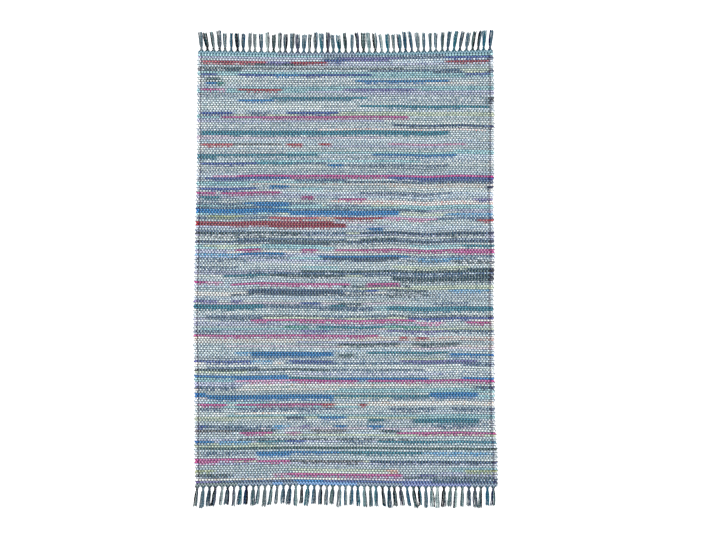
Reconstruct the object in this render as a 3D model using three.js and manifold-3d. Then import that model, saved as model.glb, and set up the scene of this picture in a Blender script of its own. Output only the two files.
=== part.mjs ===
// A rag rug of 1.4 by 2 metres, lying flat: a woven cloth of rag picks, and at each end a heading strip
// of fine yarn whose warp ends are knotted into a fringe of tassels. Millimetres, +Z up, the rug's length
// along Y with its far end at +Y, and the floor at Z = 0 under its middle.

import * as THREE from "three";
import { mergeVertices } from "three/addons/utils/BufferGeometryUtils.js";
import Module from "manifold-3d";

// Driving sizes
const CLOTH = { width: 1400, length: 2000, picks: 200 };
const RIB = { crest: 7, valley: 5.5, uneven: 0.5, wander: 0.9 };
const RAG_TURN = { picks: 2, bulge: 2.5, notch: 5.5, uneven: 1.5 };
const HEADING = { depth: 14, crest: 4.6, valley: 4.1, ribs: 5 };
const TASSELS = { count: 49, reach: 97, uneven: 7, stray: 2.2, leanUneven: 6, tipsApart: 19.5, seated: 1.5 };
const LOCKS = { count: 2, rootSpread: 1.8, spread: 5, spreadUneven: 0.8, start: 17, uneven: 6 };
const SEAM = 0.3;
const LEAN_GROWTH = 1.4;

// How far each selvedge swells out from a straight line, or draws in where negative
const SELVEDGE = [
  { along: -1000, left: -5, right: 5 },
  { along: -850, left: 1, right: 4 },
  { along: -740, left: 0, right: -4 },
  { along: -460, left: 5, right: -7 },
  { along: -290, left: 11, right: -5 },
  { along: -150, left: 10, right: -9 },
  { along: 50, left: 7, right: 0 },
  { along: 320, left: 4, right: -7 },
  { along: 450, left: 1, right: -1 },
  { along: 800, left: 4, right: 3 },
  { along: 1000, left: 1, right: -1 },
];

// How far each end's line bows outwards, at the four lines of points that run the length of the cloth
const END_BOW = [
  { across: -CLOTH.width / 2, far: 9, near: 9 },
  { across: -CLOTH.width / 6, far: 0, near: 0 },
  { across: CLOTH.width / 6, far: 1, near: 8 },
  { across: CLOTH.width / 2, far: 13, near: 9 },
];
const BOW_FADES_OVER = 260;

// How far a tassel's tip leans to the right, by its place from the left selvedge to the right one
const LEAN = [
  { place: 0, far: -14, near: -14 },
  { place: 0.15, far: -4, near: -7 },
  { place: 0.42, far: 0, near: -7 },
  { place: 0.6, far: -8, near: 5 },
  { place: 0.72, far: -12, near: 12 },
  { place: 0.8, far: 0, near: 2 },
  { place: 0.88, far: 13, near: -7 },
  { place: 1, far: 6, near: 2 },
];

// A tassel's head, from the warp ends that fan out of the heading to the neck, the knot and the tail
const HEAD = [
  { out: -TASSELS.seated, half: 11.5, low: 0.8, high: 3.7 },
  { out: 7.5, half: 3.4, low: 0.6, high: 5 },
  { out: 12.5, half: 5.4, low: 0, high: 8 },
  { out: 18.5, half: 4.8, low: 0.2, high: 5.4 },
];
const HEAD_FLAT_SHARE = 0.7;

// A lock's section from its root in the tail to its tip on the floor, with out as a share of the way
const LOCK = [
  { out: 0, low: 0.9, high: 4.4, wide: 3, narrow: 2.4 },
  { out: 0.35, low: 0, high: 5, wide: 7.4, narrow: 4.4 },
  { out: 1, low: 0, high: 2.8, wide: 5.4, narrow: 2.6 },
];

const COLOURS = {
  rag: new THREE.Color(0xa5b2b4),
  yarn: new THREE.Color(0x5f7480),
};

// Which series of chance numbers each unevenness takes, and the first of each end's own
const SERIES = { wander: 1, turnLeft: 2, turnRight: 3, height: 4, far: 10, near: 20 };

const ROWS_PER_PICK = 2;
const ROWS = CLOTH.picks * ROWS_PER_PICK;
const COLUMNS = END_BOW.length - 1;
const HALF_LENGTH = CLOTH.length / 2;
const HALF_WIDTH = CLOTH.width / 2;

// The nth number of a series that looks random from 0 to 1, and is the same each time
function chance(n, series) {
  const noise = Math.sin(n * 12.9898 + series * 78.233) * 43758.5453;
  return noise - Math.floor(noise);
}

// The same, from -1 to 1
function sway(n, series) {
  return 2 * chance(n, series) - 1;
}

// The value of a table's column, straight between its rows
function reading(table, key, at, column) {
  const next = table.findIndex((row) => row[key] >= at);
  if (next < 0) return table[table.length - 1][column];
  if (next === 0) return table[0][column];
  const [before, after] = [table[next - 1], table[next]];
  const share = (at - before[key]) / (after[key] - before[key]);
  return THREE.MathUtils.lerp(before[column], after[column], share);
}

// A flat box of the given size, cut into a grid, as a closed mesh with shared points
function griddedBox(width, length, columns, rows) {
  const box = new THREE.BoxGeometry(width, length, 1, columns, rows, 1);
  box.deleteAttribute("normal");
  box.deleteAttribute("uv");
  return mergeVertices(box);
}

// Moves each point of a gridded box to where place(column, row, isTop) says, from 0 at its lower left
function moveGrid(box, width, length, columns, rows, place) {
  const points = box.attributes.position;
  for (let i = 0; i < points.count; i++) {
    const column = Math.round((points.getX(i) / width + 0.5) * columns);
    const row = Math.round((points.getY(i) / length + 0.5) * rows);
    points.setXYZ(i, ...place(column, row, points.getZ(i) > 0).toArray());
  }
  return box;
}

// Merges points that now share a place, and leaves out the triangles that this closes up
function withoutClosedFaces(geometry) {
  const merged = mergeVertices(geometry);
  const corners = Array.from(merged.index.array);
  const kept = [];
  for (let i = 0; i < corners.length; i += 3) {
    const [a, b, c] = corners.slice(i, i + 3);
    if (a !== b && b !== c && c !== a) kept.push(a, b, c);
  }
  merged.setIndex(kept);
  return merged;
}

// Where a row of the cloth lies along it: valleys between picks, crests half-way, both a little uneven
function alongCloth(row) {
  const even = (row / ROWS - 0.5) * CLOTH.length;
  return row % ROWS === 0 ? even : even + RIB.wander * sway(row, SERIES.wander);
}

// How far the rag's turn stands out beside a row: each loop joins two picks, on alternate sides
function ragTurn(row, isLeft) {
  const pair = RAG_TURN.picks * ROWS_PER_PICK;
  const phase = row + (isLeft ? 0 : ROWS_PER_PICK);
  if (phase % pair === 0) return -RAG_TURN.notch;
  const series = isLeft ? SERIES.turnLeft : SERIES.turnRight;
  return RAG_TURN.bulge + RAG_TURN.uneven * sway(Math.floor(phase / pair), series);
}

function ribHeight(row) {
  const level = row % ROWS_PER_PICK ? RIB.crest : RIB.valley;
  return level - RIB.uneven * chance(row, SERIES.height);
}

// How far the ends' bow carries the cloth along at this place, fading towards its middle
function bowAt(across, along) {
  const share = Math.max(0, (Math.abs(along) - HALF_LENGTH + BOW_FADES_OVER) / BOW_FADES_OVER);
  const bow = reading(END_BOW, "across", across, along > 0 ? "far" : "near");
  return Math.sign(along) * bow * share;
}

// The woven rag cloth: a rib for each pick, looped selvedges and a flat underside
function wovenCloth() {
  const pair = RAG_TURN.picks * ROWS_PER_PICK;
  const box = griddedBox(CLOTH.width, CLOTH.length, COLUMNS, ROWS);
  moveGrid(box, CLOTH.width, CLOTH.length, COLUMNS, ROWS, (column, gridRow, isTop) => {
    // The underside needs a row of points only between each pair of picks.
    const row = isTop ? gridRow : pair * Math.round(gridRow / pair);
    const along = alongCloth(row);
    const line = END_BOW[column].across;
    const isLeft = column === 0;
    const isSide = isLeft || column === COLUMNS;
    const swell = reading(SELVEDGE, "along", along, isLeft ? "left" : "right");
    const turn = isTop ? ragTurn(row, isLeft) : -RAG_TURN.notch;
    const across = isSide ? Math.sign(line) * (HALF_WIDTH + swell + turn) : line;
    return new THREE.Vector3(across, along + bowAt(line, along), isTop ? ribHeight(row) : 0);
  });
  return withoutClosedFaces(box);
}

// The heading strip, its inner edge on Y = 0 and its fine ribs running across the rug
function headingStrip(end, side) {
  const rows = HEADING.ribs * 2;
  const box = griddedBox(CLOTH.width, HEADING.depth, COLUMNS, rows);
  return moveGrid(box, CLOTH.width, HEADING.depth, COLUMNS, rows, (column, row, isTop) => {
    const worldColumn = side > 0 ? column : COLUMNS - column;
    const line = END_BOW[worldColumn].across;
    const isLeft = worldColumn === 0;
    const isSide = isLeft || worldColumn === COLUMNS;
    const swell = reading(SELVEDGE, "along", side * HALF_LENGTH, isLeft ? "left" : "right");
    const across = isSide ? Math.sign(line) * (HALF_WIDTH + swell) : line;
    const along = (row / rows) * HEADING.depth + reading(END_BOW, "across", line, end);
    const height = row % 2 ? HEADING.crest : HEADING.valley;
    return new THREE.Vector3(side * across, along, isTop ? height : 0);
  });
}

// A closed solid through rings that all have the same number of points, with flat ends
function loft(rings) {
  const sides = rings[0].length;
  const last = (rings.length - 1) * sides;
  const faces = [];
  for (let first = 0; first < last; first += sides) {
    for (let k = 0; k < sides; k++) {
      const a = first + k;
      const b = first + ((k + 1) % sides);
      faces.push(a, a + sides, b, b, a + sides, b + sides);
    }
  }
  for (let k = 1; k + 1 < sides; k++) {
    faces.push(0, k, k + 1);
    faces.push(last, last + k + 1, last + k);
  }
  const geometry = new THREE.BufferGeometry().setFromPoints(rings.flat());
  geometry.setIndex(faces);
  return geometry;
}

// A six-sided ring, level below and above, for a tassel's head
function hexagon(across, along, half, low, high) {
  const middle = (low + high) / 2;
  const level = half * HEAD_FLAT_SHARE;
  const corners = [
    [-half, middle],
    [-level, low],
    [level, low],
    [half, middle],
    [level, high],
    [-level, high],
  ];
  return corners.map(([x, z]) => new THREE.Vector3(across + x, along, z));
}

// A four-sided ring, wide below and narrow above, for a lock that lies on the floor
function trapezium(across, along, wide, narrow, low, high) {
  const corners = [
    [-wide / 2, low],
    [wide / 2, low],
    [narrow / 2, high],
    [-narrow / 2, high],
  ];
  return corners.map(([x, z]) => new THREE.Vector3(across + x, along, z));
}

// Where each tassel's root is, how long it is and how far its tip leans, in the rug's own directions.
// No tip crosses its neighbour's.
function tasselPlans(end) {
  const series = SERIES[end];
  const pitch = CLOTH.width / TASSELS.count;
  let lastTip = -Infinity;
  return Array.from({ length: TASSELS.count }, (_, index) => {
    const across = (index + 0.5) * pitch - HALF_WIDTH + TASSELS.stray * sway(index, series);
    const place = across / CLOTH.width + 0.5;
    const leanHere = reading(LEAN, "place", place, end) + TASSELS.leanUneven * sway(index, series + 1);
    const tip = Math.max(across + leanHere, lastTip + TASSELS.tipsApart);
    lastTip = tip;
    const reach = TASSELS.reach + TASSELS.uneven * sway(index, series + 2);
    return { index, end, series, across, lean: tip - across, reach };
  });
}

// One tassel's head and locks, with its lean growing towards its tip
function tasselSolids(plan, side) {
  const { index, end, series, across, lean, reach } = plan;
  const root = HEADING.depth + reading(END_BOW, "across", across, end);
  const leanAt = (out) => lean * Math.max(0, out / reach) ** LEAN_GROWTH;
  const head = HEAD.map((ring) =>
    hexagon(side * (across + leanAt(ring.out)), root + ring.out, ring.half, ring.low, ring.high),
  );
  const solids = [loft(head)];
  for (let lock = 0; lock < LOCKS.count; lock++) {
    const hand = lock - (LOCKS.count - 1) / 2;
    const spread = LOCKS.spread + LOCKS.spreadUneven * sway(index, series + 3);
    const tip = reach - LOCKS.uneven * chance(index + lock * TASSELS.count, series + 4);
    const rings = LOCK.map((ring) => {
      const out = THREE.MathUtils.lerp(LOCKS.start, tip, ring.out);
      const parted = THREE.MathUtils.lerp(LOCKS.rootSpread, spread, Math.min(1, ring.out / LOCK[1].out));
      const x = across + leanAt(out) + 2 * hand * parted;
      return trapezium(side * x, root + out, ring.wide, ring.narrow, ring.low, ring.high);
    });
    solids.push(loft(rings));
  }
  return solids;
}

const wasm = await Module();
wasm.setup();

function toSolid(geometry) {
  const vertProperties = new Float32Array(geometry.attributes.position.array);
  const triVerts = new Uint32Array(geometry.index.array);
  return new wasm.Manifold(new wasm.Mesh({ numProp: 3, vertProperties, triVerts }));
}

function toGeometry(solid) {
  const { vertProperties, triVerts } = solid.getMesh();
  const geometry = new THREE.BufferGeometry();
  geometry.setAttribute("position", new THREE.BufferAttribute(vertProperties, 3));
  geometry.setIndex(new THREE.BufferAttribute(triVerts, 1));
  return geometry;
}

// A heading strip with its row of tassels, as one solid. Side is 1 at the far end, and -1 where the strip
// is turned half-way round for the near end.
function fringe(end, side) {
  let solid = toSolid(headingStrip(end, side));
  for (const plan of tasselPlans(end)) {
    for (const piece of tasselSolids(plan, side)) solid = solid.add(toSolid(piece));
  }
  return toGeometry(solid);
}

function namedMesh(name, geometry, colour) {
  const flat = geometry.toNonIndexed();
  flat.computeVertexNormals();
  const material = new THREE.MeshStandardMaterial({ color: colour, roughness: 0.95, metalness: 0 });
  const mesh = new THREE.Mesh(flat, material);
  mesh.name = name;
  return mesh;
}

const rug = new THREE.Group();
rug.add(namedMesh("woven_body", wovenCloth(), COLOURS.rag));

const farFringe = namedMesh("fringe_far", fringe("far", 1), COLOURS.yarn);
farFringe.position.y = HALF_LENGTH + SEAM;
rug.add(farFringe);

const nearFringe = namedMesh("fringe_near", fringe("near", -1), COLOURS.yarn);
nearFringe.position.y = -(HALF_LENGTH + SEAM);
nearFringe.rotation.z = Math.PI;
rug.add(nearFringe);

export default rug;
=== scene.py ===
"""A rag rug lying flat: a ribbed cloth of cut rags, the cotton warp that crosses it, a heading strip at each
end, and the warp ends knotted into tassels. Shapes are worked out in millimetres and made in metres."""

import math

import bpy
import numpy as np
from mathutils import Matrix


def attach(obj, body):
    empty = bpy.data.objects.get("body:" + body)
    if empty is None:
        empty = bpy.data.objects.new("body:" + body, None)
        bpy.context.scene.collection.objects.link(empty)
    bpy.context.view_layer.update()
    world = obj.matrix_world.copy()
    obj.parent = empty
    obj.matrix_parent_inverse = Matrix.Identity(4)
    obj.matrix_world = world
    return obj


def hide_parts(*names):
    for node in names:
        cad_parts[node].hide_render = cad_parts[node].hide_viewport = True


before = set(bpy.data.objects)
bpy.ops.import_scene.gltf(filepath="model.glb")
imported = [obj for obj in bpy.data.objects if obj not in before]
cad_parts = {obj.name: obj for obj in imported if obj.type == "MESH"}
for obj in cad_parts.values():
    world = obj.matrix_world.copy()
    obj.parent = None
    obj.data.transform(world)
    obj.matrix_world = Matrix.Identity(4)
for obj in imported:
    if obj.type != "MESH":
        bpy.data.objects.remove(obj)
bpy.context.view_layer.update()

MM = 0.001

# Where each series of chance numbers starts
SEEDS = {"picks": 3, "rags": 5, "cloth": 7, "warp": 17}


def table(columns, *rows):
    """A short table as a dictionary with a whole array for each named column."""
    return dict(zip(columns.split(), np.array(rows, float).T))


# The solids' own sizes, in millimetres
WIDTH, LENGTH, PICKS = 1400, 2000, 200
HALF_WIDTH, HALF_LENGTH, PICK = WIDTH / 2, LENGTH / 2, LENGTH / PICKS
SEAM = 0.3
RAG_TURN = {"bulge": 2.5, "notch": 5.5, "uneven": 1.5}
HEADING_DEPTH = 14
SELVEDGE = table(
    "along left right",
    (-1000, -5, 5),
    (-850, 1, 4),
    (-740, 0, -4),
    (-460, 5, -7),
    (-290, 11, -5),
    (-150, 10, -9),
    (50, 7, 0),
    (320, 4, -7),
    (450, 1, -1),
    (800, 4, 3),
    (1000, 1, -1),
)
END_BOW = table(
    "across far near",
    (-HALF_WIDTH, 9, 9),
    (-WIDTH / 6, 0, 0),
    (WIDTH / 6, 1, 8),
    (HALF_WIDTH, 13, 9),
)
BOW_FADES_OVER = 260
TASSELS = {"count": 49, "reach": 97, "uneven": 7, "stray": 2.2, "lean_uneven": 6, "tips_apart": 19.5}
LEAN = table(
    "place far near",
    (0, -14, -14),
    (0.15, -4, -7),
    (0.42, 0, -7),
    (0.6, -8, 5),
    (0.72, -12, 12),
    (0.8, 0, 2),
    (0.88, 13, -7),
    (1, 6, 2),
)
LEAN_GROWTH = 1.4
TASSEL_SERIES = {"far": 10, "near": 20}

# The cloth's section, measured up and down from its middle
MIDDLE = 3.5
RAG_VALLEY, RAG_CREST, RAG_UNEVEN = 0.9, 3.1, 0.18
RIB_PHASES = np.array([0, 0.18, 0.82])
PICK_UNEVEN, PICK_KNOTS = 0.035, 10
INNER_COLUMNS = 72
TURN_DEPTH = 8
TURN_STEPS = np.array([0.4, 0.72, 0.92, 1])

# The warp
WARPS = 576
WARP_INSET = 13
WARP_HALF_WIDTHS = {"black": 1.35, "navy": 1.3, "teal": 0.75, "sage": 0.68}
WARP_REPEAT = ["black", "teal", "teal", "navy", "sage", "sage"]
WARP_EDGE = ["black", "navy", "black", "navy"]
WARP_STRAY = 0.22
TOP_FLOAT = table("phase level", (-0.03, 0.9), (0.17, 3.48), (0.83, 3.48), (1.03, 0.9))
UNDER_FLOAT = table("phase level", (-0.03, 0.8), (0.2, 3.48), (0.8, 3.48), (1.03, 0.8))
WARP_PITCH = (WIDTH - 2 * WARP_INSET) / WARPS

# A float's map is a tile of a square of tiles, with its four rows of points at these shares of it
WARP_TILES, TILE_INSET, TILE_ROWS = 4, 0.05, [0, 0.2, 0.8, 1]

# What a texture's 0 to 1 covers across the cloth
MAP_WIDTH = WIDTH + 2 * RAG_TURN["bulge"]


# Camera

PHOTO = {"width": 716, "height": 540, "rug_x": 345.5, "rug_y": 266, "pixels_per_metre": 213.1}
CAMERA_DISTANCE = 4.5
DEPTH_GROWTH = 0.01206
SENSOR = 36


def aim_camera():
    """Puts the camera over the rug, tilted so that a metre towards the far end is farther by the growth."""
    tilt = math.asin(DEPTH_GROWTH * CAMERA_DISTANCE)
    scale = PHOTO["pixels_per_metre"]
    aim_x = (PHOTO["width"] / 2 - PHOTO["rug_x"]) / scale
    aim_y = (PHOTO["rug_y"] - PHOTO["height"] / 2) / scale
    data = bpy.data.cameras.new("camera")
    data.sensor_width = SENSOR
    data.lens = SENSOR * CAMERA_DISTANCE * scale / PHOTO["width"]
    camera = bpy.data.objects.new("camera", data)
    camera.location = (
        aim_x,
        aim_y - CAMERA_DISTANCE * math.sin(tilt),
        CAMERA_DISTANCE * math.cos(tilt),
    )
    camera.rotation_euler = (tilt, 0, 0)
    bpy.context.collection.objects.link(camera)
    bpy.context.scene.camera = camera


aim_camera()


# Colours, as they look in daylight, from 0 to 255


def paint(red, green, blue):
    """The colour as light, with an alpha of 1."""
    shown = np.array([red, green, blue]) / 255
    light = np.where(shown <= 0.04045, shown / 12.92, ((shown + 0.055) / 1.055) ** 2.4)
    return np.append(light, 1.0)


# Each rag's ground, the colour of its print, and how much of the ground the print covers
RAGS = {
    "cream": ((250, 250, 246), (214, 170, 140), 0.2),
    "coral_cream": ((250, 246, 242), (226, 130, 114), 0.24),
    "ecru": ((246, 250, 248), (158, 180, 184), 0.4),
    "mist": ((232, 242, 246), (140, 164, 176), 0.42),
    "pewter": ((142, 160, 180), (246, 250, 252), 0.45),
    "frost": ((234, 244, 252), (148, 172, 200), 0.38),
    "heather": ((220, 222, 244), (126, 128, 174), 0.36),
    "lime": ((236, 244, 216), (166, 186, 156), 0.4),
    "blush": ((246, 230, 240), (178, 160, 190), 0.4),
    "aqua": ((188, 230, 234), (96, 160, 176), 0.4),
    "slate": ((54, 76, 116), (204, 216, 230), 0.28),
    "spotted": ((26, 32, 52), (244, 248, 252), 0.36),
    "charcoal": ((22, 30, 44), (160, 172, 184), 0.2),
    "brown": ((76, 56, 62), (196, 184, 186), 0.26),
    "navy": ((14, 26, 76), (116, 132, 180), 0.18),
    "indigo": ((34, 44, 146), (116, 128, 200), 0.2),
    "violet": ((88, 64, 150), (176, 160, 214), 0.26),
    "blue": ((0, 104, 178), (40, 148, 212), 0.15),
    "sky": ((74, 160, 220), (196, 228, 246), 0.3),
    "teal": ((0, 102, 128), (70, 164, 182), 0.2),
    "seagreen": ((40, 134, 118), (140, 206, 188), 0.28),
    "bottle": ((16, 42, 44), (124, 154, 142), 0.2),
    "olive": ((140, 154, 88), (224, 228, 186), 0.36),
    "magenta": ((190, 30, 130), (228, 116, 184), 0.18),
    "pink": ((216, 120, 174), (244, 216, 232), 0.36),
    "crimson": ((160, 0, 28), (190, 12, 44), 0.03),
    "red": ((182, 14, 36), (222, 96, 108), 0.18),
    "orange": ((228, 140, 96), (246, 226, 210), 0.44),
}
# How often each rag comes up between the charted ones
GROUND_RAGS = {"mist": 26, "ecru": 19, "frost": 13, "pewter": 8, "cream": 5, "coral_cream": 2, "heather": 6}
GROUND_RAGS |= {"lime": 6, "blush": 3, "aqua": 6, "slate": 3, "spotted": 1, "charcoal": 1}

# How long these are, how many the line takes, and how far each is darker or lighter than its kind
RAG_LENGTHS = (250, 1700)
RAGS_IN_LINE = 800
GROUND_FADING = (-0.2, 0.14)

# The same for a charted rag, how much more its print may cover, and how far it reaches past its chart
RAG_FADING, RAG_WEAR, RAG_OVERLAP = 0.1, 0.13, 1
# How much shorter it may come back, and how much of what it covers still shows there
RAG_RETURN = {"shorter": 0.25, "mottle": 0.46}

# Where the coloured rags lie: a pick, counted from the far end, then centimetres from the left selvedge.
# A rag with /2 or /3 fills that many picks. Each comes back, mottled, along a part of the next pick, but not
# one with /1.
CHART = """
0: 0-60 aqua, 60-118 slate, 118-140 aqua
1: 0-60 heather, 67-96 violet, 118-139 indigo
2: 60-72 indigo, 72-91 violet/1
3: 1-32 red, 10-18 crimson, 32-44 violet, 44-62 crimson, 118-139 crimson
6: 13-20 charcoal
7: 125-139 lime
9: 2-9 indigo, 20-36 indigo, 36-48 blue, 48-82 indigo, 126-139 indigo
11: 3-12 bottle
12: 74-118 blue
13: 4-9 blue, 10-13 seagreen
16: 2-9 magenta, 9-13 pink, 20-41 red, 70-104 violet
20: 34-80 teal, 137-140 charcoal/2
21: 20-36 blue
24: 76-138 teal
27: 1-18 indigo, 23-34 slate, 43-67 indigo
29: 12-100 magenta
33: 92-140 navy
36: 1-118 teal/2
42: 1-18 red, 18-40 brown/1, 42-50 red, 58-64 red, 90-126 pink/1
47: 0-10 teal/2, 10-58 teal, 82-122 blue
51: 1-28 indigo, 28-46 teal, 46-62 slate/1
52: 62-70 blue, 70-118 slate
57: 8-19 pink, 19-140 magenta
58: 4-43 indigo, 90-140 indigo
59: 46-70 slate
62: 34-44 blue, 136-140 navy
63: 1-28 indigo, 48-60 aqua
65: 0-10 magenta, 11-40 magenta, 76-120 slate
67: 1-12 teal, 50-56 magenta
68: 67-81 magenta, 131-140 violet
70: 0-58 slate, 23-44 blue
71: 28-44 blue, 62-82 slate
73: 0-44 blue/2
74: 44-96 blue/2
75: 117-140 sky
76: 6-23 olive
77: 35-58 red, 58-66 orange, 66-89 crimson, 89-96 pink, 96-114 pink
78: 133-140 red
79: 0-66 crimson/2
80: 60-70 crimson
81: 34-71 crimson
82: 81-89 blue
83: 0-25 slate
84: 0-49 charcoal, 49-70 slate, 77-131 navy, 114-140 navy
85: 2-49 spotted, 119-130 spotted
87: 20-70 slate, 95-140 slate
88: 0-140 navy, 34-70 charcoal
90: 4-30 lime, 100-124 aqua, 125-140 teal
92: 20-31 magenta, 49-57 magenta, 66-140 magenta
93: 121-140 magenta
94: 0-21 sky, 21-42 blue
95: 58-100 blue, 100-140 slate
96: 0-44 slate, 59-96 navy, 103-124 sky
97: 25-63 heather
100: 0-20 slate, 49-67 aqua, 93-129 lime
104: 13-35 teal, 35-70 charcoal, 78-124 slate/1, 124-140 charcoal/1
105: 93-140 charcoal/2
107: 0-5 magenta, 5-13 pink
108: 17-73 magenta, 81-96 magenta
111: 24-70 navy/2, 70-81 slate, 81-86 indigo, 91-110 charcoal, 119-138 sky
113: 89-110 spotted
116: 0-12 violet, 18-23 violet
117: 49-59 indigo, 68-79 charcoal, 112-129 slate
118: 0-32 teal/2, 32-56 slate/1, 63-70 teal
119: 84-92 aqua, 91-140 teal/2
122: 13-19 spotted
123: 6-32 slate/2, 59-72 slate, 78-91 slate
124: 0-5 heather, 100-140 indigo
125: 27-36 magenta, 37-103 magenta
126: 103-117 pink, 126-139 magenta
128: 43-54 seagreen, 58-89 teal, 88-110 seagreen
130: 0-13 slate, 50-63 violet, 91-119 violet, 119-140 slate
132: 0-86 magenta
133: 96-100 red, 103-109 red
136: 68-96 charcoal, 102-124 charcoal
140: 20-27 sky, 27-66 blue/2, 80-119 teal
141: 67-74 bottle, 119-140 blue
143: 96-117 lime
144: 0-27 indigo, 27-37 sky, 44-66 indigo, 96-133 violet
147: 6-30 slate
148: 0-64 charcoal/1, 64-107 slate/1
151: 0-43 blue
152: 20-43 blue, 44-70 teal, 68-110 blue, 125-140 blue
153: 20-44 pink, 44-77 magenta, 81-140 magenta
156: 0-20 slate, 131-140 navy
159: 0-5 blue/2, 110-133 blue/2
160: 5-66 blue/2, 66-110 teal, 133-140 aqua
164: 1-15 magenta, 20-59 magenta, 59-65 red, 76-81 red
166: 2-13 slate, 20-70 slate, 91-114 slate, 119-140 slate
170: 43-52 navy, 58-70 blue
171: 80-88 teal, 101-133 teal/2
174: 2-5 indigo, 5-36 slate, 36-43 sky, 49-53 violet, 66-71 blue, 81-88 blue, 110-133 slate
176: 0-20 brown, 20-39 charcoal, 53-70 brown, 86-96 charcoal
177: 21-37 magenta, 42-49 pink, 95-140 magenta
181: 0-9 blue, 11-27 sky, 28-44 teal, 42-51 indigo, 68-82 slate, 84-111 teal, 111-140 teal
184: 2-140 bottle/1
186: 3-28 slate, 28-68 blue, 68-105 teal, 105-138 sky
187: 28-44 blue
189: 0-12 magenta/2, 12-28 magenta
190: 28-44 magenta, 44-79 brown, 81-140 navy
194: 0-9 olive, 44-93 lime, 89-94 orange, 124-140 olive
196: 0-18 charcoal, 36-43 pink, 43-96 magenta, 104-111 violet
197: 96-140 charcoal
198: 0-70 cream, 70-96 blush, 96-110 heather, 110-140 slate
199: 0-12 violet, 12-46 navy, 46-60 blue, 60-110 indigo, 110-140 navy
"""
# The weft of each heading, in centimetres from the left selvedge
HEADING_CHART = {
    "far": "0-38 teal, 38-75 slate, 75-140 teal",
    "near": "0-20 bottle, 20-36 slate, 36-41 blue, 41-48 slate, 48-75 blue, "
    "75-96 slate, 96-128 indigo, 128-140 slate",
}
HEADING_OVERLAP = 3

YARNS = {
    "black": (14, 18, 26),
    "navy": (20, 34, 78),
    "teal": (26, 104, 124),
    "sage": (146, 178, 176),
    "grey": (122, 132, 136),
    "steel": (86, 114, 130),
    "blue": (46, 94, 122),
    "pale": (184, 198, 196),
    "slate": (54, 74, 94),
    "moss": (76, 98, 98),
    "dusk": (84, 86, 108),
}
YARN_NAMES = list(YARNS)


def read_chart_line(line):
    """The rags that one line of the chart names, each as (left, right, name, picks), in millimetres. One
    that comes back has a half pick more."""
    found = []
    for entry in line.split(","):
        reach, name = entry.split()
        left, right = (10 * float(part) for part in reach.split("-"))
        name, _, picks = name.partition("/")
        found.append((left, right, name, 1 if picks == "1" else int(picks or 1) + 0.5))
    return found


def rag_row(name):
    """The rag's ground as light, and its print as light with the share that it covers as alpha."""
    ground, printed, share = RAGS[name]
    row = np.stack([paint(*ground), paint(*printed)])
    row[1, 3] = share
    return row


def lay_rags(across):
    """Colours for each pick at each of the places across, which run from 0 at the left selvedge.

    The rags follow each other along one serpentine line, whose length at a place is the pick's number
    times the width, plus the way across in the pick's own direction. Each is a little darker or lighter
    than its kind. Charted rags are laid over these, and come back along a part of one pick more, where
    what they cover still shows as their print.
    """
    dice = np.random.default_rng(SEEDS["rags"])
    starts = np.cumsum(dice.uniform(*RAG_LENGTHS, RAGS_IN_LINE))
    weights = np.array(list(GROUND_RAGS.values())) / sum(GROUND_RAGS.values())
    names = dice.choice(list(GROUND_RAGS), RAGS_IN_LINE + 1, p=weights)
    fading = 1 + dice.uniform(*GROUND_FADING, RAGS_IN_LINE + 1)
    rows = np.stack([rag_row(name) for name in names])
    rows[..., :3] *= fading[:, None, None]
    pick = np.arange(PICKS)[:, None]
    way = np.where(pick % 2, across, WIDTH - across)
    rags = rows[np.searchsorted(starts, pick * WIDTH + way)]
    for line in CHART.strip().split("\n"):
        number, entries = line.split(":")
        for left, right, name, picks in read_chart_line(entries):
            first = int(number)
            last = first + int(picks)
            row = rag_row(name)
            row[:, :3] *= 1 + dice.uniform(-RAG_FADING, RAG_FADING)
            row[1, 3] += dice.uniform(0, RAG_WEAR)
            left, right = left - RAG_OVERLAP, right + RAG_OVERLAP
            rags[first:last, (across >= left) & (across <= right)] = row
            if picks == int(picks):
                continue
            length = right - left - 2 * RAG_OVERLAP
            short = RAG_RETURN["shorter"] * length * dice.uniform(0, 1, 2)
            come_back = (across >= left + short[0]) & (across <= right - short[1])
            mottled = rags[last : last + 1, come_back]
            mottled[..., 1, :3] = mottled[..., 0, :3]
            mottled[..., 1, 3] = RAG_RETURN["mottle"]
            mottled[..., 0, :] = row[0]
            rags[last : last + 1, come_back] = mottled
    return rags


# Shapes


def made_piece(name, points, faces, finish, corner_map, corner_colours=()):
    """A smooth mesh from points in millimetres and a list of arrays of faces, each with as many corners as
    columns. The map and the named colours have a row for each face's corner, in the same order."""
    mesh = bpy.data.meshes.new(name)
    mesh.vertices.add(len(points))
    mesh.vertices.foreach_set("co", (np.asarray(points) * MM).astype(np.float32).ravel())
    corners = np.concatenate([part.ravel() for part in faces])
    sizes = np.concatenate([np.full(len(part), part.shape[1]) for part in faces])
    mesh.loops.add(len(corners))
    mesh.loops.foreach_set("vertex_index", corners.astype(np.int32))
    mesh.polygons.add(len(sizes))
    mesh.polygons.foreach_set("loop_start", (np.cumsum(sizes) - sizes).astype(np.int32))
    mesh.update(calc_edges=True)
    mesh.polygons.foreach_set("use_smooth", np.ones(len(sizes), bool))
    layer = mesh.uv_layers.new(name="OFBake")
    layer.data.foreach_set("uv", corner_map.astype(np.float32).ravel())
    for label, colours in corner_colours:
        attribute = mesh.attributes.new(label, "FLOAT_COLOR", "CORNER")
        attribute.data.foreach_set("color", colours.astype(np.float32).ravel())
    mesh.materials.append(finish)
    piece = bpy.data.objects.new(name, mesh)
    bpy.context.collection.objects.link(piece)
    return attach(piece, "root")


def selvedge(along, side):
    """A selvedge's x at each y: half the width, and what the table adds there, out to its side."""
    column = SELVEDGE["left" if side < 0 else "right"]
    return side * (HALF_WIDTH + np.interp(along, SELVEDGE["along"], column))


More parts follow.
